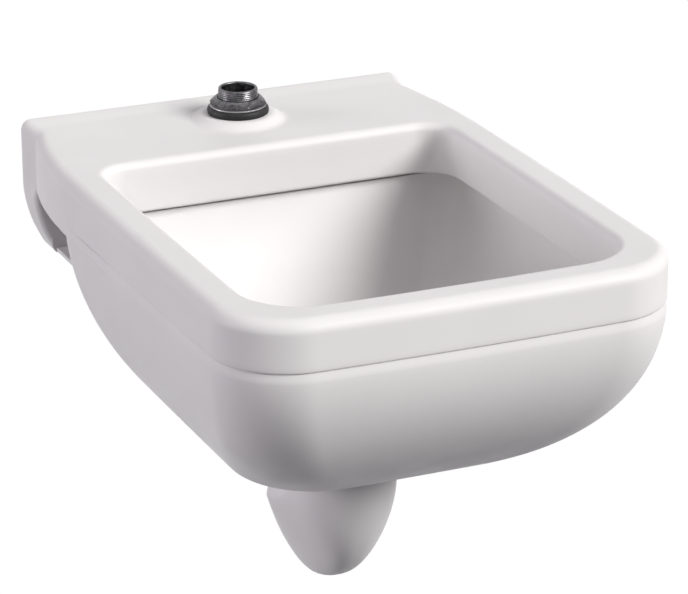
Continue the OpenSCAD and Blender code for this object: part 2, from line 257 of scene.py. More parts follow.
def turned(name: str, profile: np.ndarray, centre: Vector, sides: int = 120) -> bpy.types.Object:
    """Turn a closed profile about an upright axis.

    Args:
        name: Name of the object.
        profile: Points as (radius, height), in metres.
        centre: Foot of the axis.
        sides: Number of steps round it.

    Returns:
        The turned solid.
    """
    rings = []
    for k in range(sides):
        a = 2.0 * math.pi * k / sides
        rings.append(np.column_stack([
            centre.x + profile[:, 0] * math.cos(a),
            centre.y + profile[:, 0] * math.sin(a),
            centre.z + profile[:, 1]]))
    return loft(name, rings)


# ---- finishes ----


def fill(
        tree: bpy.types.NodeTree, node: bpy.types.Node, entries: dict[str | int, object]
) -> bpy.types.Node:
    """Fill the inputs of a node.

    Args:
        tree: The nodes that it is one of.
        node: The node.
        entries: Sockets to link or plain values, by the input's name or number.

    Returns:
        The same node.
    """
    for key, entry in entries.items():
        if isinstance(entry, bpy.types.NodeSocket):
            tree.links.new(entry, node.inputs[key])
        else:
            node.inputs[key].default_value = entry
    return node


def blend(
        tree: bpy.types.NodeTree, factor: bpy.types.NodeSocket,
        first: Sequence[float], second: Sequence[float]
) -> bpy.types.NodeSocket:
    """Blend two colours.

    Args:
        tree: The nodes to add to.
        factor: Share of the second colour.
        first: Colour at factor 0.
        second: Colour at factor 1.

    Returns:
        The blended colour.
    """
    node = tree.nodes.new("ShaderNodeMix")
    node.data_type = "RGBA"
    fill(tree, node, {"Factor": factor})
    for key, colour in (("A_Color", first), ("B_Color", second)):
        next(s for s in node.inputs if s.identifier == key).default_value = (*colour, 1.0)
    return next(s for s in node.outputs if s.identifier == "Result_Color")


@dataclass(frozen=True)
class Finish:
    """A surface whose colour, roughness and relief change slightly over the object."""

    name: str
    colour: tuple[float, float, float]
    second: tuple[float, float, float]
    blotch: float
    rough_low: float
    rough_high: float
    rough_scale: float
    grain_scale: float
    grain_depth: float
    grain_strength: float
    metallic: float = 0.0
    coat: float = 0.0
    coat_roughness: float = 0.1
    specular: float = 0.5

    def coordinates(self, tree: bpy.types.NodeTree) -> bpy.types.NodeSocket:
        """Give the piece's own object coordinates."""
        return tree.nodes.new("ShaderNodeTexCoord").outputs["Object"]

    def noise(self, tree: bpy.types.NodeTree, scale: float, detail: float = 3.0) -> bpy.types.NodeSocket:
        """Add a noise over the object.

        Args:
            tree: The material's nodes.
            scale: How fine the noise is, per metre.
            detail: How many finer layers it has.

        Returns:
            The noise's value.
        """
        node = fill(tree, tree.nodes.new("ShaderNodeTexNoise"), {
            "Scale": scale, "Detail": detail, "Vector": self.coordinates(tree)})
        return node.outputs["Fac"]

    def spread(
            self, tree: bpy.types.NodeTree, value: bpy.types.NodeSocket, low: float, high: float
    ) -> bpy.types.NodeSocket:
        """Stretch a noise over a range.

        Args:
            tree: The material's nodes.
            value: The noise.
            low: What its low values become.
            high: What its high values become.

        Returns:
            The stretched value.
        """
        node = fill(tree, tree.nodes.new("ShaderNodeMapRange"), {
            "Value": value, "From Min": NOISE_RANGE[0], "From Max": NOISE_RANGE[1],
            "To Min": low, "To Max": high})
        return node.outputs["Result"]

    def tint(self, tree: bpy.types.NodeTree) -> bpy.types.NodeSocket:
        """Blend the two colours by a broad noise.

        Args:
            tree: The material's nodes.

        Returns:
            The blended colour.
        """
        share = self.spread(tree, self.noise(tree, self.blotch), 0.0, 1.0)
        return blend(tree, share, self.colour, self.second)

    def bump(self, tree: bpy.types.NodeTree, height: bpy.types.NodeSocket) -> bpy.types.NodeSocket:
        """Turn heights into a bumped normal.

        Args:
            tree: The material's nodes.
            height: The heights.

        Returns:
            The bumped normal.
        """
        node = fill(tree, tree.nodes.new("ShaderNodeBump"), {
            "Strength": self.grain_strength, "Distance": self.grain_depth, "Height": height})
        return node.outputs["Normal"]

    def relief(self, tree: bpy.types.NodeTree) -> bpy.types.NodeSocket:
        """Raise a fine grain.

        Args:
            tree: The material's nodes.

        Returns:
            The bumped normal.
        """
        return self.bump(tree, self.noise(tree, self.grain_scale, 2.0))

    def material(self) -> bpy.types.Material:
        """Build the material.

        Returns:
            The material, ready to be assigned.
        """
        made = bpy.data.materials.new(self.name)
        made.use_nodes = True
        tree = made.node_tree
        rough = self.spread(tree, self.noise(tree, self.rough_scale), self.rough_low, self.rough_high)
        fill(tree, tree.nodes["Principled BSDF"], {
            "Metallic": self.metallic, "Coat Weight": self.coat, "Coat Roughness": self.coat_roughness,
            "Specular IOR Level": self.specular, "Base Color": self.tint(tree), "Roughness": rough,
            "Normal": self.relief(tree)})
        return made


@dataclass(frozen=True)
class Machined(Finish):
    """Plated metal with fine turning marks round its upright axis."""

    turning: float = 900.0
    across: float = 20.0

    def relief(self, tree: bpy.types.NodeTree) -> bpy.types.NodeSocket:
        """Raise fine level rings, as a lathe leaves them.

        Args:
            tree: The material's nodes.

        Returns:
            The bumped normal.
        """
        stretch = fill(tree, tree.nodes.new("ShaderNodeMapping"), {
            "Scale": (self.across, self.across, self.turning), "Vector": self.coordinates(tree)})
        marks = fill(tree, tree.nodes.new("ShaderNodeTexNoise"), {
            "Scale": 1.0, "Detail": 2.0, "Vector": stretch.outputs["Vector"]})
        return self.bump(tree, marks.outputs["Fac"])


GLAZE = Finish(
    "glazed_china", (0.80, 0.785, 0.785), (0.775, 0.76, 0.76), 7.0, 0.42, 0.52, 30.0, 90.0, 0.0006, 0.10,
    coat=0.04, coat_roughness=0.30, specular=0.20)
PLATING = Machined(
    "dark_plating", (0.17, 0.165, 0.175), (0.07, 0.068, 0.072), 160.0, 0.24, 0.42, 240.0, 0.0, 0.0003, 0.35,
    metallic=1.0)
STAMPED = Machined(
    "stamped_metal", (0.36, 0.35, 0.36), (0.22, 0.21, 0.22), 120.0, 0.32, 0.5, 200.0, 0.0, 0.0003, 0.25,
    metallic=1.0)
RUBBER = Finish(
    "moulded_rubber", (0.007, 0.0065, 0.007), (0.014, 0.0135, 0.0145), 90.0, 0.5, 0.68, 150.0,
    1400.0, 0.0002, 0.4, specular=0.35)


def dress(piece: bpy.types.Object, finish: Finish, slot: Slot, *nodes: str) -> None:
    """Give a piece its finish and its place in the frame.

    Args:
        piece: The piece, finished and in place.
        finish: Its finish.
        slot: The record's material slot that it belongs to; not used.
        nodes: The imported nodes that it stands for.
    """
    made = bpy.data.materials.get(finish.name) or finish.material()
    piece.data.materials.clear()
    piece.data.materials.append(made)
    for face in piece.data.polygons:
        face.material_index = 0
    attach(piece, "root")
    if nodes:
        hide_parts(*nodes)
    triangles = sum(len(p.vertices) - 2 for p in piece.data.polygons)
    LOG.info("%s: %d triangles, %s", piece.name, triangles, finish.name)


# ---- the sink's outline ----


@dataclass(frozen=True)
class Outline:
    """The sink's plan seen from above, and the height of its deck."""

    half_width: float = 0.2569
    depth: float = 0.724
    back_half: float = 0.238
    rim_z: float = 0.280
    plate_depth: float = 0.044
    flare_end: float = 0.216
    flare_power: float = 2.4
    side_bow: float = 0.003
    front_bow: float = 0.006
    corner_r: float = 0.081
    square_r: float = 0.030
    rim_side: float = 0.045
    deck_depth: float = 0.188
    opening_front_r: float = 0.064
    opening_back_r: float = 0.034
    curb_height: float = 0.005
    curb_flat: float = 0.028
    curb_slope_end: float = 0.112
    curb_band: float = 0.036
    band_share: float = 0.6
    inlet_offset: float = 0.084
    boss_height: float = 0.008
    boss_top_r: float = 0.039
    boss_base_r: float = 0.057
    seam_start: float = 0.20
    seam_fade: float = 0.10
    corner_steps: int = 24
    side_steps: int = 80
    across_steps: int = 104

    def taper(self, y: np.ndarray) -> np.ndarray:
        """Give the share of the full width that the sink has at y."""
        t = np.clip((-y - self.plate_depth) / (self.flare_end - self.plate_depth), 0.0, 1.0)
        return 1.0 - (self.half_width - self.back_half) / self.half_width * (1.0 - t) ** self.flare_power

    def rise(self, y: np.ndarray | float) -> np.ndarray:
        """Give the height of the deck above the rim, which climbs to the curb along the wall.

        Args:
            y: Places from the wall.

        Returns:
            The heights.
        """
        near = smooth(-np.asarray(y) / self.curb_band)
        far = smooth((-np.asarray(y) - self.curb_flat) / (self.curb_slope_end - self.curb_flat))
        return self.curb_height * (1.0 - self.band_share * near - (1.0 - self.band_share) * far)

    def deck(self, x: np.ndarray, y: np.ndarray) -> np.ndarray:
        """Give the height of the deck above the rim, with the boss round the inlet.

        Args:
            x: Places across the sink.
            y: Places from the wall.

        Returns:
            The heights.
        """
        low = self.rise(y)
        radius = np.hypot(x, y + self.inlet_offset)
        share = 1.0 - smooth((radius - self.boss_top_r) / (self.boss_base_r - self.boss_top_r))
        return low + (self.boss_height - low) * share

    def corner(self, cx: float, cy: float, r: float, start: float, square: bool) -> np.ndarray:
        """Give one corner of a plan.

        Args:
            cx: Centre of the corner's arc, across the sink.
            cy: Centre of the corner's arc, from the wall.
            r: Radius of the arc.
            start: Angle at which the arc starts, in degrees.
            square: Whether the points are pushed out to a sharp corner.

        Returns:
            The corner's points.
        """
        a = np.radians(start + 90.0 * np.arange(self.corner_steps + 1) / self.corner_steps)
        k = 1.0 / np.maximum(np.abs(np.cos(a)), np.abs(np.sin(a))) if square else np.ones_like(a)
        return np.column_stack([cx + r * k * np.cos(a), cy + r * k * np.sin(a)])

    def plan(
            self, hw: float, back: float, front: float, rb: float, rf: float, square: bool = False
    ) -> np.ndarray:
        """Give a rounded rectangle with its own back and front corners.

        Args:
            hw: Its half width.
            back: Its edge towards the wall.
            front: Its edge away from the wall.
            rb: Radius of the back corners.
            rf: Radius of the front corners.
            square: Whether the back corners are sharp.

        Returns:
            Its points, anticlockwise from the right.
        """
        cap = min(hw, (back - front) / 2.0) - 0.0005
        b, f = min(rb, cap), min(rf, cap)
        c1 = self.corner(hw - b, back - b, b, 0.0, square)
        c2 = self.corner(-hw + b, back - b, b, 90.0, square)
        c3 = self.corner(-hw + f, front + f, f, 180.0, False)
        c4 = self.corner(hw - f, front + f, f, 270.0, False)
        side = (np.arange(1, self.side_steps) / self.side_steps)[:, None] ** 1.3
        across = (np.arange(1, self.across_steps) / self.across_steps)[:, None]
        return np.concatenate([
            c1, mix(c1[-1], c2[0], across), c2, mix(c2[-1], c3[0], side),
            c3, mix(c3[-1], c4[0], across), c4, mix(c1[0], c4[-1], side)[::-1]])

    def bend(self, points: np.ndarray, z: float) -> np.ndarray:
        """Bend a plan to the sink's outline and lift it.

        Args:
            points: The plan's points.
            z: The height that it gets.

        Returns:
            A ring of points in space.
        """
        x, y = points[:, 0], points[:, 1]
        along = np.clip((-y - self.plate_depth) / (self.depth - self.plate_depth), 0.0, 1.0)
        swell = self.side_bow * (4.0 * along * (1.0 - along) - 1.0)
        back = self.front_bow * (x / self.half_width) ** 2 * smooth(2.0 * along - 1.0)
        return np.column_stack([
            x * self.taper(y) + swell * x / self.half_width, y + back, np.full(len(x), z)])

    def outer(self, inset: float, drop: float, back: float) -> np.ndarray:
        """Give a ring on the rim's outline.

        Args:
            inset: How far the ring is moved in.
            drop: How far it is below the rim's top.
            back: Place of its back edge, from the wall.

        Returns:
            The ring.
        """
        plan = self.plan(
            self.half_width - inset, back, -self.depth + inset, self.square_r, self.corner_r - inset, True)
        return self.bend(plan, self.rim_z - drop)

    def opening(self, out: float, drop: float) -> np.ndarray:
        """Give a ring on the opening's outline.

        Args:
            out: How far the ring is moved outwards.
            drop: How far it is below the rim's top.

        Returns:
            The ring.
        """
        plan = self.plan(
            self.half_width - self.rim_side + out, -self.deck_depth + out,
            -self.depth + self.rim_side - out, self.opening_back_r + out, self.opening_front_r + out)
        return self.bend(plan, self.rim_z - drop)

    def on_deck(self, ring: np.ndarray, share: float = 1.0) -> np.ndarray:
        """Lift a ring by a share of the deck's height."""
        return ring + np.column_stack([
            np.zeros((len(ring), 2)), share * self.deck(ring[:, 0], ring[:, 1])])

    def grooved(self, depth: float, drop: float) -> np.ndarray:
        """Give an outer ring in the joint between rim and bowl, whose groove fades towards the wall.

        Args:
            depth: Depth of the groove here, at the front.
            drop: How far the ring is below the rim's top.

        Returns:
            The ring.
        """
        flush = self.outer(0.0, drop, -self.plate_depth)
        return mix(flush, self.outer(depth, drop, -self.plate_depth), self.seam_share(flush))

    def seam_share(self, ring: np.ndarray) -> np.ndarray:
        """Give how much of the seam's groove each point of a ring has."""
        return smooth((-ring[:, 1] - self.seam_start) / self.seam_fade)[:, None]


# The seam's groove, in millimetres: distance from the joint and depth.
RIM_EDGE = ((0.0, 1.7), (0.4, 1.15), (1.0, 0.62), (1.8, 0.22), (3.0, 0.0))
BOWL_EDGE = (
    (0.0, 1.7), (1.2, 1.58), (2.6, 1.36), (4.2, 1.04), (6.0, 0.68), (8.0, 0.32), (10.0, 0.09), (11.4, 0.0))


# ---- castings ----


@dataclass
class RimCasting:
    """The flushing rim with the deck, its hanging lip and the channel inside it."""

    outline: Outline = field(default_factory=Outline)
    height: float = 0.056
    wall: float = 0.011
    top_roll: float = 0.015
    opening_roll: float = 0.009
    lip_drop: float = 0.063
    lip_draft: float = 0.006
    back_wall: float = 0.008
    fillet: float = 0.005
    deck_inset: float = 0.009
    hole_r: float = 0.027

    def side(self) -> list[np.ndarray]:
        """Give the rings from the joint with the bowl up to the rolled edge.

        Returns:
            The rings.
        """
        o = self.outline
        rings = [o.grooved(depth * MM, self.height - up * MM) for up, depth in RIM_EDGE]
        top = self.height - RIM_EDGE[-1][0] * MM
        for t in np.linspace(0.0, 1.0, 9)[1:-1]:
            rings.append(o.on_deck(o.outer(0.0, mix(top, self.top_roll, t), -o.plate_depth), t))
        return rings

    def top(self) -> list[np.ndarray]:
        """Give the rings over the rolled edge and across the deck to the opening.

        Returns:
            The rings.
        """
        o = self.outline
        rings = []
        for a in np.linspace(0.0, math.pi / 2.0, 14):
            inset, drop = self.top_roll * (1.0 - math.cos(a)), self.top_roll * (1.0 - math.sin(a))
            rings.append(o.on_deck(o.outer(inset, drop, -o.plate_depth)))
        for t in np.linspace(0.0, 1.0, 19)[1:]:
            back = -mix(o.plate_depth, o.curb_slope_end, t)
            rings.append(o.on_deck(o.outer(self.top_roll + self.deck_inset * t, 0.0, back)))
        start = o.outer(self.top_roll + self.deck_inset, 0.0, -o.curb_slope_end)
        end = o.opening(self.opening_roll, 0.0)
        for t in np.linspace(0.0, 1.0, 19)[1:-1]:
            rings.append(o.on_deck(mix(start, end, t)))
        return rings

    def inside(self) -> list[np.ndarray]:
        """Give the rings over the opening's edge, down the lip and through the channel.

        Returns:
            The rings.
        """
        o, roll, half = self.outline, self.opening_roll, self.wall / 2.0
        rings = []
        for a in np.linspace(0.0, math.pi / 2.0, 12):
            rings.append(o.opening(roll * (1.0 - math.sin(a)), roll * (1.0 - math.cos(a))))
        foot = self.lip_drop - half
        for t in np.linspace(0.0, 1.0, 9)[1:-1]:
            rings.append(o.opening(self.lip_draft * t, mix(roll, foot, t)))
        for a in np.linspace(0.0, math.pi, 11):
            rings.append(o.opening(self.lip_draft + half * (1.0 - math.cos(a)), foot + half * math.sin(a)))
        roof, back, near = self.wall + 0.001, -o.plate_depth - self.back_wall, self.fillet * 0.3
        rings += [
            o.opening(self.wall, roof + self.fillet),
            o.opening(self.wall + near, roof + near),
            o.opening(self.wall + self.fillet, roof),
            o.outer(self.wall + self.fillet, roof, back - self.fillet),
            o.outer(self.wall + near, roof + near, back - near),
            o.outer(self.wall, roof + self.fillet, back),
            o.outer(self.wall, self.height, back)]
        return rings

    def build(self) -> bpy.types.Object:
        """Make the casting and drill the hole for the spud.

        Returns:
            The dressed piece.
        """
        o, past = self.outline, 0.004
        piece = loft("rim", self.side() + self.top() + self.inside())
        low = Vector((0.0, -o.inlet_offset, o.rim_z - self.wall - past))
        high = Vector((0.0, -o.inlet_offset, o.rim_z + o.boss_height + past))
        combine(piece, bar("drill", self.hole_r, low, high), "DIFFERENCE")
        settle(piece)
        dress(piece, GLAZE, Slot.CHINA, "rim_casting")
        return piece


@dataclass
class BowlCasting:
    """The bowl, with the shelf that closes the channel and the neck that leads to the trap."""

    outline: Outline = field(default_factory=Outline)
    wall: float = 0.011
    neck_wall: float = 0.012
    rim_height: float = 0.056
    shelf_drop: float = 0.068
    ledge: float = 0.022
    drop: float = 0.298
    neck_drop: float = 0.315
    neck_r: float = 0.066
    neck_spread: float = 0.036
    turn_in: float = 0.009
    floor_half: float = 0.032
    floor_front: float = 0.390
    side_fullness: float = 2.07
    front_fullness: float = 1.99
    rear_fullness: float = 1.58
    rear_top: float = 0.157
    rear_foot: float = 0.350
    rear_corner_r: float = 0.056
    trap_leg: float = 0.386
    shelf_edge: float = 0.002
    rear_inset: float = 0.002
    rear_start: float = 0.190
    rear_fade: float = 0.040
    plug_top: float = 0.0575
    plug_foot: float = 0.190
    plug_share: float = 0.4
    steps: int = 44
    neck_steps: int = 14

    def section(self, drop: float, bottom: float, wall: float) -> np.ndarray:
        """Give the bowl's section at a depth.

        Args:
            drop: Depth below the rim's top.
            bottom: Depth at which this face of the bowl ends.
            wall: How far the face is inset from the outside.

        Returns:
            The ring.
        """
        o = self.outline
        t = (drop - self.rim_height) / (bottom - self.rim_height)
        fall = [max(0.0, 1.0 - t ** n) ** (1.0 / n)
                for n in (self.side_fullness, self.rear_fullness, self.front_fullness)]
        return o.bend(o.plan(
            mix(self.floor_half, o.half_width - wall, fall[0]),
            -mix(self.rear_foot, self.rear_top + wall, fall[1]),
            -mix(self.floor_front, o.depth - wall, fall[2]),
            self.rear_corner_r - wall, o.corner_r - wall), o.rim_z - drop)

    def face(self, bottom: float, wall: float, steps: int) -> list[np.ndarray]:
        """Give the rings down one face, crowded where the bowl turns under.

        Args:
            bottom: Depth at which the face ends.
            wall: How far the face is inset from the outside.
            steps: Number of rings.

        Returns:
            The rings from the shelf down.
        """
        power = self.side_fullness / 2.0
        reach = bottom - self.rim_height
        a, b = (math.asin(((d - self.rim_height) / reach) ** power)
                for d in (self.shelf_drop, bottom - self.turn_in))
        drops = [self.rim_height + reach * math.sin(mix(a, b, i / steps)) ** (1.0 / power)
                 for i in range(steps + 1)]
        return [self.section(drop, bottom, wall) for drop in drops]

    def neck(self, start: float, wall: float) -> list[np.ndarray]:
        """Give the rings that gather the bowl's underside into the round neck.

        Args:
            start: Depth at which the gathering starts.
            wall: Thickness taken off the neck's radius.

        Returns:
            The rings.
        """
        o = self.outline
        spot = self.section(self.drop - self.turn_in, self.drop, 0.0)
        count, middle = len(spot), (self.floor_front + self.rear_foot) / 2.0
        angle = np.arctan2(spot[:, 1] + middle, spot[:, 0])
        even = np.linspace(0.0, 2.0 * math.pi, count, endpoint=False) + angle[0]
        rings = []
        for i in range(1, self.neck_steps + 1):
            t = i / self.neck_steps
            r = self.neck_r - wall + self.neck_spread * (1.0 - t) ** 2
            y = -mix(middle, self.trap_leg, t)
            a = mix(np.unwrap(angle), even, smooth(t))
            rings.append(np.column_stack([
                r * np.cos(a), y + r * np.sin(a), np.full(count, o.rim_z - mix(start, self.neck_drop, t))]))
        return rings

    def build(self) -> bpy.types.Object:
        """Make the casting.

        Returns:
            The dressed piece.
        """
        o = self.outline
        front = o.seam_share(o.outer(0.0, self.rim_height, -o.plate_depth))
        top = []
        for down, depth in BOWL_EDGE:
            drop = self.rim_height + down * MM
            grooved = self.section(drop, self.drop, depth * MM)
            top.append(mix(o.outer(0.0, drop, -o.plate_depth), grooved, front))
        full, tight = (o.outer(inset, self.shelf_drop, -o.plate_depth) for inset in (0.0, self.rear_inset))
        rear = smooth((full[:, 1] + self.rear_start) / self.rear_fade)[:, None]
        edge = [mix(mix(full, tight, rear), self.section(self.shelf_drop, self.drop, 0.0), front)
                + np.array([0.0, 0.0, 0.0002])]
        outside = self.face(self.drop, 0.0, self.steps)
        within = self.face(self.drop - self.wall, self.wall, self.steps)
        within += self.neck(self.drop - self.wall - self.turn_in, self.neck_wall)
        soft = self.shelf_edge
        shelf = [o.opening(self.ledge + out, drop) for out, drop in (
            (soft, self.shelf_drop), (0.0, self.shelf_drop - soft),
            (0.0, self.rim_height + soft), (soft, self.rim_height))]
        piece = loft("bowl", top + edge + outside + self.neck(self.drop - self.turn_in, 0.0)
                     + within[::-1] + shelf)
        dress(piece, GLAZE, Slot.CHINA, "bowl_casting")
        return piece

    def plug(self) -> bpy.types.Object:
        """Make the solid that trims what meets the bowl's outside, halfway into its wall.

        Returns:
            The solid.
        """
        rings = [self.section(d, self.drop, self.wall * self.plug_share)
                 for d in np.linspace(self.plug_top, self.plug_foot, 24)]
        rings[0] = rings[0] + np.array([0.0, 0.0, 0.002])
        return loft("plug", rings, closed=False)


@dataclass
class TrapCasting:
    """The trap: a tapering foot, a lower bend, a rise to the weir and the level run to the outlet."""

    rim_z: float = 0.280
    neck_drop: float = 0.315
    neck_r: float = 0.066
    leg: float = 0.386
    bore_r: float = 0.038
    wall: float = 0.012
    drop: float = 0.4726
    bend_r: float = 0.0517
    weir_r: float = 0.062
    turn: float = math.radians(130.0)
    leg_half: float = 0.0605
    leg_depth: float = 0.0561
    keel_half: float = 0.0705
    keel_depth: float = 0.1073
    pinch: float = 0.51
    bluntness: float = 0.76
    flare: float = 0.007
    flare_reach: float = 0.012
    plate_depth: float = 0.044
    points: int = 112

    def path(self) -> list[tuple[float, ...]]:
        """Give the centre line and the outer size along it.

        Returns:
            Rows of y, z, angle of travel, half width, depth below, depth above and share of the foot's form.
        """
        tube = self.bore_r + self.wall
        top, level = self.rim_z - self.neck_drop, math.pi / 2.0
        bend_z = self.rim_z - self.drop + self.keel_depth + self.bend_r
        bend_y = -self.leg + self.bend_r
        rows = []
        for t in np.linspace(0.0, 1.0, 11)[:-1]:
            rows.append((-self.leg, mix(top, bend_z, t), 0.0,
                         mix(self.neck_r, self.leg_half, t), mix(self.neck_r, self.leg_depth, t),
                         mix(self.neck_r, tube, t), 0.0))
        for a in np.linspace(0.0, self.turn, 45):
            sink, rise = min(1.0, a / level), smooth((a - level) / (self.turn - level))
            rows.append((bend_y - self.bend_r * math.cos(a), bend_z - self.bend_r * math.sin(a), a,
                         mix(mix(self.leg_half, self.keel_half, sink), tube, rise),
                         mix(mix(self.leg_depth, self.keel_depth, sink), tube, rise), tube,
                         smooth(a / level / 0.8) * (1.0 - rise)))
        y, z = rows[-1][:2]
        length = (-self.weir_r * (1.0 - math.sin(self.turn)) - z) / -math.cos(self.turn)
        for t in np.linspace(0.0, 1.0, 9)[1:-1]:
            rows.append((y + length * t * math.sin(self.turn), z - length * t * math.cos(self.turn),
                         self.turn, tube, tube, tube, 0.0))
        cy = y + length * math.sin(self.turn) - self.weir_r * math.cos(self.turn)
        cz = z - length * math.cos(self.turn) - self.weir_r * math.sin(self.turn)
        for a in np.linspace(self.turn, level, 18):
            rows.append((cy + self.weir_r * math.cos(a), cz + self.weir_r * math.sin(a), a,
                         tube, tube, tube, 0.0))
        last = rows[-1][0]
        for t in np.linspace(0.0, 1.0, 13)[1:]:
            at = mix(last, -self.plate_depth, t)
            flare = self.flare * max(0.0, 1.0 + (at + self.plate_depth) / self.flare_reach) ** 2
            rows.append((at, 0.0, level, tube + flare, tube + flare, tube + flare, 0.0))
        return rows

    def ring(self, row: tuple[float, ...], bore: bool) -> np.ndarray:
        """Give a ring across the centre line.

        Args:
            row: One row of the path.
            bore: Whether the ring lies on the bore, and not on the outside.

        Returns:
            The ring.
        """
        y, z, a, half, deep, shallow, form = row
        if bore:
            flat = abs(a - math.pi / 2.0) < 1e-6
            half, deep, shallow = (self.bore_r if flat else v - self.wall for v in (half, deep, shallow))
        turn = np.linspace(0.0, 2.0 * math.pi, self.points, endpoint=False)
        power = 2.0 / (2.0 + self.bluntness * form)
        power = np.where(np.sin(turn) < 0.0, power, 1.0)
        wide, out = (np.sign(f) * np.abs(f) ** power for f in (np.cos(turn), np.sin(turn)))
        side = half * wide * (1.0 - self.pinch * form * np.maximum(0.0, -out))
        along = np.where(out > 0.0, shallow, deep) * out
        return np.column_stack([side, y + along * math.cos(a), z + along * math.sin(a)])

    def build(self) -> bpy.types.Object:
        """Make the casting.

        Returns:
            The dressed piece.
        """
        rows = self.path()
        rings = [self.ring(r, False) for r in rows] + [self.ring(r, True) for r in reversed(rows)]
        piece = loft("trap", rings)
        dress(piece, GLAZE, Slot.CHINA, "trap_casting")
        return piece


@dataclass
class BackCasting:
    """The back plate with its curb, shoulders, outlet pad, bolt holes and the two bolt pockets."""

    outline: Outline = field(default_factory=Outline)
    corner_r: float = 0.012
    rim_roll: float = 0.015
    shoulder_drop: float = 0.066
    shoulder_low: float = 0.147
    shoulder_half: float = 0.214
    pad_r: float = 0.112
    pocket_half: float = 0.150
    wall: float = 0.011
    pocket_top: float = 0.068
    pocket_reach: float = 0.2535
    bore_r: float = 0.038
    groove_r: float = 0.050
    groove_width: float = 0.012
    groove_depth: float = 0.009
    bolt_r: float = 0.0095
    bolts: tuple[tuple[float, float], ...] = ((0.190, 0.178), (0.087, 0.0))
    edge: float = 0.003
    front_edge: float = 0.008
    floor_fall: float = 0.5
    buried: float = 0.004
    upright_rise: float = 0.003
    upright_edge: float = 0.0015
    floor_edge: float = 0.0018
    side_inset: float = 0.003
    meet_drop: float = 0.082
    meet_fade: float = 0.020
    meet_from: float = 0.006
    floor_from: float = 0.130
    floor_to: float = 0.150
    floor_fade: float = 0.010

    def half_outline(self, inset: float, r: float) -> list[tuple[float, float]]:
        """Give the right half of the plate's outline, from the middle of the top to the lowest point.

        Args:
            inset: How far the side stands in from the plate's half width.
            r: Radius of the top corner.

        Returns:
            The points, as places across and heights.
        """
        o = self.outline
        top = o.rim_z + o.curb_height
        right = o.back_half - inset
        points = [(x, top) for x in np.linspace(0.0, right - r, 65)[:-1]]
        points += [(right - r + r * math.sin(a), top - r + r * math.cos(a))
                   for a in np.linspace(0.0, math.pi / 2.0, 12)]
        start, low = o.rim_z - self.shoulder_drop, o.rim_z - self.shoulder_low
        points += [(right, z) for z in np.linspace(top - r, start, 18)[1:-1]]
        points += [(right - (right - self.shoulder_half) * t * t, mix(start, low, t))
                   for t in np.linspace(0.0, 1.0, 26)]
        points += [(x, low) for x in np.linspace(self.shoulder_half, self.pocket_half, 20)[1:-1]]
        reach = math.hypot(self.pocket_half, low)
        tangent = math.atan2(low, self.pocket_half) - math.acos(self.pad_r / reach)
        touch = (self.pad_r * math.cos(tangent), self.pad_r * math.sin(tangent))
        points += [(mix(self.pocket_half, touch[0], t), mix(low, touch[1], t))
                   for t in np.linspace(0.0, 1.0, 30)[:-1]]
        points += [(self.pad_r * math.cos(a), self.pad_r * math.sin(a))
                   for a in np.linspace(tangent, -math.pi / 2.0, 50)]
        return points

    def ring(self, y: float, inset: float, front: bool) -> np.ndarray:
        """Give the plate's outline at a distance from the wall.

        Args:
            y: The place from the wall.
            inset: How far the edge is rounded off here.
            front: Whether only the sides and the bottom are rounded off, and not the top.

        Returns:
            The ring.
        """
        o = self.outline
        shapes = [self.half_outline(0.0, self.corner_r), self.half_outline(self.side_inset, self.rim_roll)]
        flat, flush = (np.array(h + [(-x, z) for x, z in h[-2:0:-1]]) for h in shapes)
        meets = smooth((flat[:, 1] - o.rim_z + self.meet_drop) / self.meet_fade)
        meets = meets * smooth((-y - self.meet_from) / (o.plate_depth - self.meet_from))
        flat = mix(flat, flush, meets[:, None])
        for _ in range(3):
            soft = (np.roll(flat, 1, 0) + 2.0 * flat + np.roll(flat, -1, 0)) / 4.0
            low = ((flat[:, 1] < o.rim_z - self.shoulder_drop - 0.02) & (abs(flat[:, 0]) < 0.17))[:, None]
            flat = np.where(low, soft, flat)
        along = np.roll(flat, -1, 0) - np.roll(flat, 1, 0)
        normal = np.column_stack([-along[:, 1], along[:, 0]])
        normal /= np.linalg.norm(normal, axis=1)[:, None]
        share = np.ones(len(flat))
        if front:
            on_floor = smooth((abs(flat[:, 0]) - self.floor_from) / self.floor_fade)
            on_floor = on_floor * smooth((self.floor_to - flat[:, 1]) / self.floor_fade)
            share = 1.0 - smooth((flat[:, 1] - o.rim_z + self.meet_drop) / self.meet_fade)
            share = share * (1.0 - on_floor)
        moved = flat - normal * inset * share[:, None]
        top = smooth((flat[:, 1] - o.rim_z + 0.03) / 0.034)
        raised = o.deck(moved[:, 0], np.full(len(moved), y)) - o.curb_height
        return np.column_stack([moved[:, 0], np.full(len(moved), y), moved[:, 1] + top * raised])

    def plate(self) -> bpy.types.Object:
        """Make the plate, solid as yet.

        Returns:
            The plate.
        """
        depth, e, soft = self.outline.plate_depth, self.edge, self.front_edge
        rings = [self.ring(-e * (1.0 - math.sin(a)), e * (1.0 - math.cos(a)), False)
                 for a in np.linspace(math.pi / 2.0, 0.0, 6)]
        rings += [self.ring(-y, 0.0, False) for y in np.linspace(0.008, depth - soft - 0.002, 12)]
        rings += [self.ring(-depth + soft * (1.0 - math.sin(a)), soft * (1.0 - math.cos(a)), True)
                  for a in np.linspace(0.0, math.pi / 2.0, 9)]
        return loft("back", rings, closed=False)

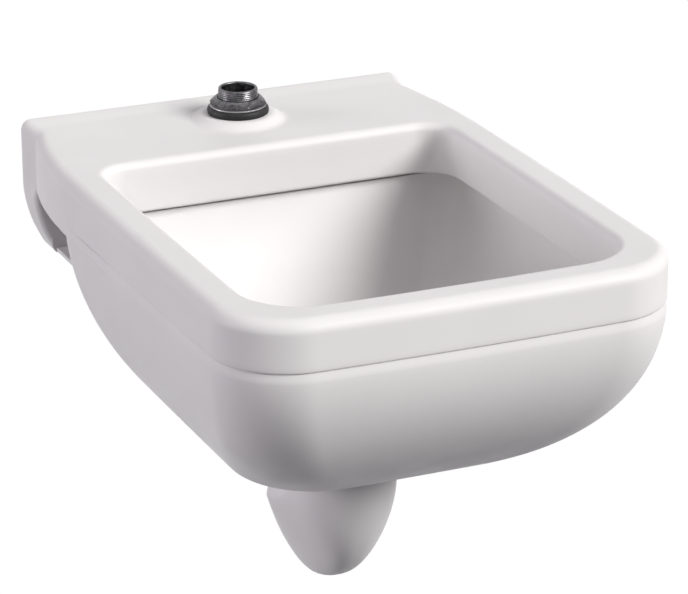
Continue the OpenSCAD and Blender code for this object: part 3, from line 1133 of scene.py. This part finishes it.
    def pocket(self, side: int) -> bpy.types.Object:
        """Make one side's pocket wall and floor.

        Args:
            side: 1 for the right side and -1 for the left.

        Returns:
            The two walls as one solid, trimmed to the bowl.
        """
        o = self.outline
        low = o.rim_z - self.shoulder_low
        y0, y1 = -self.pocket_reach, -o.plate_depth + self.buried
        high = o.rim_z - self.pocket_top + self.upright_rise
        xs = sorted((side * (self.pocket_half - self.wall), side * self.pocket_half))
        upright = slab("pocket", (xs[0], y0, low), (xs[1], y1, high), self.upright_edge)
        xs = sorted((side * (self.pocket_half - self.wall), side * (self.shoulder_half - 0.0005)))
        floor = slab(
            "pocket_floor", (xs[0], y0, low + 0.0002), (xs[1], y1, low + self.wall), self.floor_edge)
        for vertex in floor.data.vertices:
            if abs(vertex.co.x) > self.shoulder_half - 0.004 and vertex.co.z > low + self.wall / 2.0:
                vertex.co.z -= self.wall * self.floor_fall
        combine(upright, floor, "UNION")
        combine(upright, BowlCasting().plug(), "DIFFERENCE")
        return upright

    def build(self) -> bpy.types.Object:
        """Make the casting and bore it.

        Returns:
            The dressed piece.
        """
        depth, past = self.outline.plate_depth, 0.003
        piece = self.plate()
        for side in (1, -1):
            combine(piece, self.pocket(side), "UNION")
        groove = turned("groove", np.array([
            (self.groove_r, -0.002), (self.groove_r + self.groove_width, -0.002),
            (self.groove_r + self.groove_width, self.groove_depth), (self.groove_r, self.groove_depth)]),
            Vector((0.0, 0.0, 0.0)), 96)
        groove.data.transform(Matrix.Rotation(math.radians(90.0), 4, "X"))
        combine(piece, groove, "DIFFERENCE")
        holes = [(0.0, 0.0, self.bore_r)]
        holes += [(side * x, z, self.bolt_r) for x, z in self.bolts for side in (1, -1)]
        for x, z, r in holes:
            drill = bar("drill", r, Vector((x, past, z)), Vector((x, -depth - past, z)), 72)
            combine(piece, drill, "DIFFERENCE")
        settle(piece)
        dress(piece, GLAZE, Slot.CHINA, "back_casting")
        return piece


# ---- inlet spud ----


@dataclass
class InletSpud:
    """The spud in the deck: its body, squeezed rubber, friction ring, locknut and free thread."""

    outline: Outline = field(default_factory=Outline)
    bore: float = 19.3
    thread_r: float = 23.5
    root_r: float = 22.6
    shank_r: float = 23.2
    flange_r: float = 25.7
    top: float = 38.5
    tail: float = 34.0
    free: float = 28.5
    pitch: float = 2.2
    rubber_r: float = 36.0
    sleeve_r: float = 26.7
    rubber_low: float = 8.0
    rubber_high: float = 16.5
    rubber_bore: float = 23.5
    rubber_foot: float = -29.7
    rubber_under: float = -12.3
    bead_r: float = 30.5
    loose_r: float = 23.8
    nut_top_r: float = 25.2
    nut_foot_r: float = 24.3
    nut_lead: float = 1.0
    ring_r: float = 33.0
    ring_high: float = 18.5
    flats: float = 57.0
    nut_high: float = 27.5

    def centre(self) -> Vector:
        """Give the point on the deck that the spud stands about."""
        return Vector((0.0, -self.outline.inlet_offset, self.outline.rim_z))

    def turn(self, name: str, corners: Sequence[tuple[float, float, float]]) -> bpy.types.Object:
        """Turn a rounded profile, given in millimetres, about the spud's axis."""
        return turned(name, rounded(corners) * MM, self.centre())

    def body(self) -> bpy.types.Object:
        """Make the body: tail flange, shank, threaded end and bore.

        Returns:
            The dressed piece.
        """
        piece = self.turn("spud_tube", [
            (self.bore, -self.tail, 0.8), (self.flange_r, -self.tail, 1.0),
            (self.flange_r, -self.tail + 4, 0.8), (self.shank_r, -self.tail + 4, 0.5),
            (self.shank_r, self.free - 0.6, 0.3), (self.root_r, self.free, 0.3),
            (self.root_r, self.top - 0.9, 0.4), (self.root_r - 0.9, self.top, 0.5),
            (self.bore + 1, self.top, 0.5), (self.bore, self.top - 1.2, 0.5)])
        dress(piece, PLATING, Slot.SPUD, "spud_body")
        return piece

    def gasket(self) -> bpy.types.Object:
        """Make the rubber: washer above the deck, sleeve in the hole and bead below.

        Returns:
            The dressed piece.
        """
        under = self.rubber_under
        piece = self.turn("spud_rubber", [
            (self.rubber_bore, self.rubber_foot, 0.3), (self.flange_r, self.rubber_foot, 0.3),
            (self.bead_r, under - 8.75, 2.5), (self.bead_r, under - 5.25, 2.5),
            (self.sleeve_r, under, 1.0), (self.sleeve_r, self.rubber_low, 0.4),
            (self.rubber_r - 0.6, self.rubber_low, 1.2), (self.rubber_r, self.rubber_low + 3.6, 2.5),
            (self.rubber_r - 0.4, self.rubber_high - 2.2, 1.8),
            (self.rubber_r - 2.2, self.rubber_high, 1.6), (self.rubber_bore, self.rubber_high, 0.3)])
        dress(piece, RUBBER, Slot.RUBBER, "spud_gasket")
        return piece

    def ring(self) -> bpy.types.Object:
        """Make the stamped friction ring.

        Returns:
            The dressed piece.
        """
        piece = self.turn("spud_washer", [
            (self.loose_r, self.rubber_high, 0.3), (self.ring_r, self.rubber_high, 0.7),
            (self.ring_r, self.ring_high - 0.2, 0.9), (self.ring_r - 1.6, self.ring_high, 0.9),
            (self.loose_r, self.ring_high, 0.3)])
        dress(piece, STAMPED, Slot.RING, "spud_friction_ring")
        return piece

    def nut(self) -> bpy.types.Object:
        """Make the locknut: a hexagon whose corners run off in a cone.

        Returns:
            The dressed piece.
        """
        sides, half, low, high = 216, self.flats / 2.0, self.ring_high, self.nut_high
        corner = half / math.cos(math.pi / 6.0)
        turn = np.linspace(0.0, 2.0 * math.pi, sides, endpoint=False)
        hexagon = half / np.cos((turn + math.pi / 6.0) % (math.pi / 3.0) - math.pi / 6.0)
        rings = []
        heights = np.concatenate([
            [low, low + 0.25, low + 0.5], np.linspace(low + 1.0, high - 0.5, 20), [high - 0.2, high]])
        for z in heights:
            cone = mix(corner, half - 2.5, (z - low - 3.0) / (high - low - 3.0)) if z > low + 3.0 else corner
            foot = corner - 0.8 + 1.6 * (z - low) if z < low + 0.5 else corner
            radius = np.minimum(np.minimum(hexagon, cone), foot)
            radius = radius - (0.3 if z == high else 0.0)
            rings.append((radius, z))
        bore, mouth = self.loose_r, self.nut_top_r
        for r, z in ((mouth, high), (mouth - self.nut_lead, high - 0.4), (bore, high - 1.0),
                     (bore, low + 0.6), (self.nut_foot_r, low)):
            rings.append((np.full(sides, r), z))
        at = self.centre()
        piece = loft("spud_nut", [np.column_stack([
            at.x + r * MM * np.cos(turn), at.y + r * MM * np.sin(turn), np.full(sides, at.z + z * MM)])
            for r, z in rings])
        settle(piece, math.radians(24.0))
        dress(piece, PLATING, Slot.SPUD, "spud_locknut")
        return piece

    def thread_tree(self) -> bpy.types.NodeTree:
        """Build the nodes that wind a thread's ridge on a helix.

        Returns:
            The tree, with its sizes as named inputs.
        """
        tree = bpy.data.node_groups.new("wound_thread", "GeometryNodeTree")
        kinds = {"Radius": "NodeSocketFloat", "Turns": "NodeSocketFloat", "Pitch": "NodeSocketFloat",
                 "Ridge": "NodeSocketFloat", "Place": "NodeSocketVector", "Finish": "NodeSocketMaterial"}
        for name, kind in kinds.items():
            tree.interface.new_socket(name, in_out="INPUT", socket_type=kind)
        tree.interface.new_socket("Geometry", in_out="OUTPUT", socket_type="NodeSocketGeometry")
        add, link = tree.nodes.new, tree.links.new
        given, out = add("NodeGroupInput"), add("NodeGroupOutput")
        helix, upright = add("GeometryNodeCurveSpiral"), add("GeometryNodeSetCurveNormal")
        profile, sweep = add("GeometryNodeCurvePrimitiveQuadrilateral"), add("GeometryNodeCurveToMesh")
        along, ease = add("GeometryNodeSplineParameter"), add("ShaderNodeFloatCurve")
        height = add("ShaderNodeMath")
        place, real = add("GeometryNodeTransform"), add("GeometryNodeRealizeInstances")
        finish = add("GeometryNodeSetMaterial")
        height.operation = "MULTIPLY"
        upright.mode = "Z_UP"
        profile.mode = "KITE"
        points = ease.mapping.curves[0].points
        points[0].location = (0.0, 0.05)
        points[1].location = (1.0, 0.05)
        points.new(0.10, 1.0)
        points.new(0.90, 1.0)
        ease.mapping.update()
        helix.inputs["Resolution"].default_value = 96
        sweep.inputs["Fill Caps"].default_value = True
        for source, output, target, entry in (
                (given, "Turns", helix, "Rotations"), (given, "Radius", helix, "Start Radius"),
                (given, "Radius", helix, "End Radius"), (given, "Turns", height, 0),
                (given, "Pitch", height, 1), (height, 0, helix, "Height"), (given, "Ridge", profile, "Width"),
                (given, "Ridge", profile, "Bottom Height"), (given, "Ridge", profile, "Top Height"),
                (helix, "Curve", upright, "Curve"), (upright, "Curve", sweep, "Curve"),
                (profile, "Curve", sweep, "Profile Curve"), (along, "Factor", ease, "Value"),
                (ease, "Value", sweep, "Scale"), (sweep, "Mesh", place, "Geometry"),
                (given, "Place", place, "Translation"), (place, "Geometry", real, "Geometry"),
                (real, "Geometry", finish, "Geometry"), (given, "Finish", finish, "Material"),
                (finish, "Geometry", out, "Geometry")):
            link(source.outputs[output], target.inputs[entry])
        return tree

    def thread(self) -> bpy.types.Object:
        """Wind the thread on the spud's free end.

        Returns:
            The dressed piece.
        """
        tree = self.thread_tree()
        piece = new_object("spud_thread", np.zeros((0, 3)), [])
        modifier = piece.modifiers.new("thread", "NODES")
        modifier.node_group = tree
        keys = {item.name: item.identifier for item in tree.interface.items_tree if item.in_out == "INPUT"}
        start = self.free + 0.9
        turns = (self.top - 1.6 - start) / self.pitch
        ridge = self.thread_r - self.root_r
        sizes = {
            "Radius": self.root_r * MM, "Turns": turns, "Pitch": self.pitch * MM, "Ridge": ridge * MM,
            "Place": tuple(self.centre() + Vector((0.0, 0.0, start * MM))),
            "Finish": bpy.data.materials.get(PLATING.name) or PLATING.material()}
        for name, value in sizes.items():
            modifier[keys[name]] = value
        bake(piece)
        settle(piece)
        dress(piece, PLATING, Slot.SPUD, "spud_body")
        return piece

    def build(self) -> list[bpy.types.Object]:
        """Make the five pieces of the spud.

        Returns:
            The dressed pieces.
        """
        return [self.body(), self.thread(), self.gasket(), self.ring(), self.nut()]


# ---- studio ----


@dataclass
class Lamp:
    """One soft, distant lamp."""

    name: str
    azimuth: float
    elevation: float
    width: float
    level: float
    colour: tuple[float, float, float] = (1.0, 1.0, 1.0)
    distance: float = 4.0

    def build(self) -> None:
        """Hang the lamp; azimuth 0 is in front of the sink and grows towards +X."""
        data = bpy.data.lights.new(self.name, "SUN")
        data.angle = math.radians(self.width)
        data.energy = self.level * math.pi
        data.color = self.colour
        made = bpy.data.objects.new(self.name, data)
        a, e = math.radians(self.azimuth), math.radians(self.elevation)
        way = Vector((math.sin(a) * math.cos(e), -math.cos(a) * math.cos(e), math.sin(e)))
        made.location = way * self.distance
        made.rotation_euler = way.to_track_quat("Z", "Y").to_euler()
        bpy.context.scene.collection.objects.link(made)


@dataclass
class Studio:
    """Pale floor, even surroundings, soft lamps and the camera."""

    floor_z: float = -0.75
    floor_half: float = 6.0
    floor_pale: tuple[float, float, float] = (0.62, 0.62, 0.62)
    floor_bounce: tuple[float, float, float] = (0.13, 0.125, 0.14)
    floor_lift: float = 0.44
    surroundings: tuple[float, float, float] = (0.86, 0.83, 0.88)
    strength: float = 0.28
    yaw: float = 0.410337
    pitch: float = 0.361644
    roll: float = -0.002389
    focal: float = 3457.5
    frame_width: float = 688.0
    sensor: float = 36.0
    offset: tuple[float, float, float] = (-0.156501, 0.234662, 4.088819)
    rim_z: float = 0.280
    lamps: tuple[Lamp, ...] = (
        Lamp("key", 38.0, 33.0, 28.0, 1.05, (1.0, 0.995, 0.975)),
        Lamp("top", 0.0, 80.0, 60.0, 0.06, (1.0, 0.995, 0.98)),
        Lamp("fill", -104.0, 9.0, 30.0, 0.45, (0.98, 0.955, 1.0)),
    )

    def glow(self, tree: bpy.types.NodeTree) -> bpy.types.NodeSocket:
        """Give 1 for rays from the camera, in gloss and through glass, and 0 for the rest.

        Args:
            tree: The nodes to add it to.

        Returns:
            The value.
        """
        path = tree.nodes.new("ShaderNodeLightPath")
        value = path.outputs["Is Camera Ray"]
        for name in ("Is Glossy Ray", "Is Transmission Ray"):
            node = fill(tree, tree.nodes.new("ShaderNodeMath"), {0: value, 1: path.outputs[name]})
            node.operation = "MAXIMUM"
            value = node.outputs[0]
        return value

    def world(self) -> None:
        """Make the even surroundings, which the camera, gloss and glass see as white."""
        world = bpy.data.worlds.new("surroundings")
        world.use_nodes = True
        tree = world.node_tree
        base = fill(tree, tree.nodes["Background"], {
            "Color": (*self.surroundings, 1.0), "Strength": self.strength})
        white = fill(tree, tree.nodes.new("ShaderNodeBackground"), {
            "Color": (1.0, 1.0, 1.0, 1.0), "Strength": 1.0})
        seen = fill(tree, tree.nodes.new("ShaderNodeMixShader"), {
            "Fac": self.glow(tree), 1: base.outputs[0], 2: white.outputs[0]})
        fill(tree, tree.nodes["World Output"], {"Surface": seen.outputs[0]})
        bpy.context.scene.world = world

    def floor(self) -> None:
        """Lay the pale floor, which keeps the sink's shadow."""
        s, z = self.floor_half, self.floor_z
        corners = np.array([(-s, -s, z), (s, -s, z), (s, s, z), (-s, s, z)])
        made = new_object("floor", corners, [(0, 1, 2, 3)])
        finish = bpy.data.materials.new("pale_floor")
        finish.use_nodes = True
        tree = finish.node_tree
        shader = fill(tree, tree.nodes["Principled BSDF"], {
            "Base Color": blend(tree, self.glow(tree), self.floor_bounce, self.floor_pale),
            "Roughness": 0.9, "Specular IOR Level": 0.0})
        share = fill(tree, tree.nodes.new("ShaderNodeMath"), {0: self.glow(tree), 1: self.floor_lift})
        share.operation = "MULTIPLY"
        lift = fill(tree, tree.nodes.new("ShaderNodeEmission"), {"Strength": share.outputs[0]})
        both = fill(tree, tree.nodes.new("ShaderNodeAddShader"), {0: shader.outputs[0], 1: lift.outputs[0]})
        fill(tree, tree.nodes["Material Output"], {"Surface": both.outputs[0]})
        made.data.materials.append(finish)

    def camera(self) -> None:
        """Set the camera at the photograph's angle."""
        sy, cy = math.sin(self.yaw), math.cos(self.yaw)
        sp, cp = math.sin(self.pitch), math.cos(self.pitch)
        ahead = Vector((sy * cp, cy * cp, -sp))
        level = Vector((cy, -sy, 0.0))
        rise = level.cross(ahead)
        right = level * math.cos(self.roll) + rise * math.sin(self.roll)
        up = rise * math.cos(self.roll) - level * math.sin(self.roll)
        x, y, z = self.offset
        place = -(right * x + up * y + ahead * z) + Vector((0.0, 0.0, self.rim_z))
        data = bpy.data.cameras.new("camera")
        data.sensor_width = self.sensor
        data.lens = self.focal / self.frame_width * self.sensor
        data.clip_end = 60.0
        made = bpy.data.objects.new("camera", data)
        axes = Matrix((right, up, -ahead)).transposed().to_4x4()
        made.matrix_world = Matrix.Translation(place) @ axes
        bpy.context.scene.collection.objects.link(made)
        bpy.context.scene.camera = made

    def build(self) -> None:
        """Set up everything round the sink."""
        bpy.context.scene.view_settings.view_transform = "Standard"
        self.world()
        self.floor()
        for lamp in self.lamps:
            lamp.build()
        self.camera()


def main() -> None:
    """Build the sink piece by piece inside its studio."""
    logging.basicConfig(level=logging.INFO, format="%(name)s: %(message)s")
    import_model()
    Studio().build()
    RimCasting().build()
    BowlCasting().build()
    TrapCasting().build()
    BackCasting().build()
    InletSpud().build()


if __name__ == "__main__":
    main()
